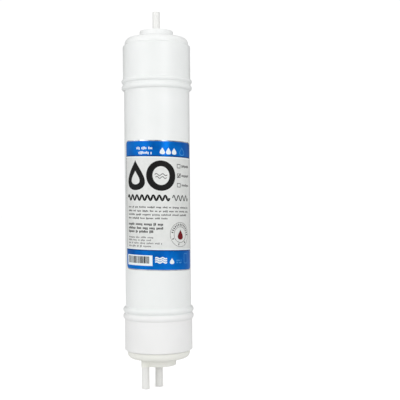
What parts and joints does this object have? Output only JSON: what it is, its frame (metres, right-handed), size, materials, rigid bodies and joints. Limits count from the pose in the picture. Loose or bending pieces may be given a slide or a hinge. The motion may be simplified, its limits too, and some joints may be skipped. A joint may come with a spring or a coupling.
{
  "type": "inline water filter",
  "caption": "White inline reverse-osmosis filter cartridge with domed ends, weld rings, a front label and quarter-inch tube stems at both ends.",
  "frame": {"origin": "on the housing's axis, midway between the tip of the inlet stem and the tips of the two outlet stems", "axes": "+Z along the axis towards the inlet stem, -Y out of the middle of the label, -X towards the drain stem's side"},
  "size_m": [0.06, 0.06, 0.319],
  "materials": {
    "housing_white": "white polypropylene, satin gloss",
    "plate_white": "white polypropylene, satin gloss",
    "plate_cream": "natural polypropylene, slightly cream",
    "stem_natural": "natural polyethylene tube, slightly translucent",
    "label_film": "silver-grey film with blue bands",
    "core_plastic": "moulded ABS",
    "seal_rubber": "black EPDM",
    "knit_fabric": "white tricot knit",
    "glue": "amber polyurethane adhesive",
    "membrane": "off-white film on non-woven backing",
    "net_plastic": "extruded diamond net",
    "wrap_tape": "plain winding tape"
  },
  "bodies": {
    "root": {"housing_tube": "housing_white", "upper_sleeve": "housing_white", "lower_sleeve": "housing_white", "upper_end_plate": "plate_white", "lower_end_plate": "plate_cream", "inlet_stem": "stem_natural", "permeate_stem": "stem_natural", "drain_stem": "stem_natural", "label": "label_film", "core_tube": "core_plastic", "core_plug": "core_plastic", "upper_o_ring": "seal_rubber", "lower_o_ring": "seal_rubber", "inlet_disc": "core_plastic", "outlet_disc": "core_plastic", "brine_seal": "seal_rubber", "permeate_carrier": "knit_fabric", "leaf_glue": "glue", "membrane_leaf": "membrane", "feed_spacer": "net_plastic", "outer_wrap": "wrap_tape"}
  },
  "joints": []
}
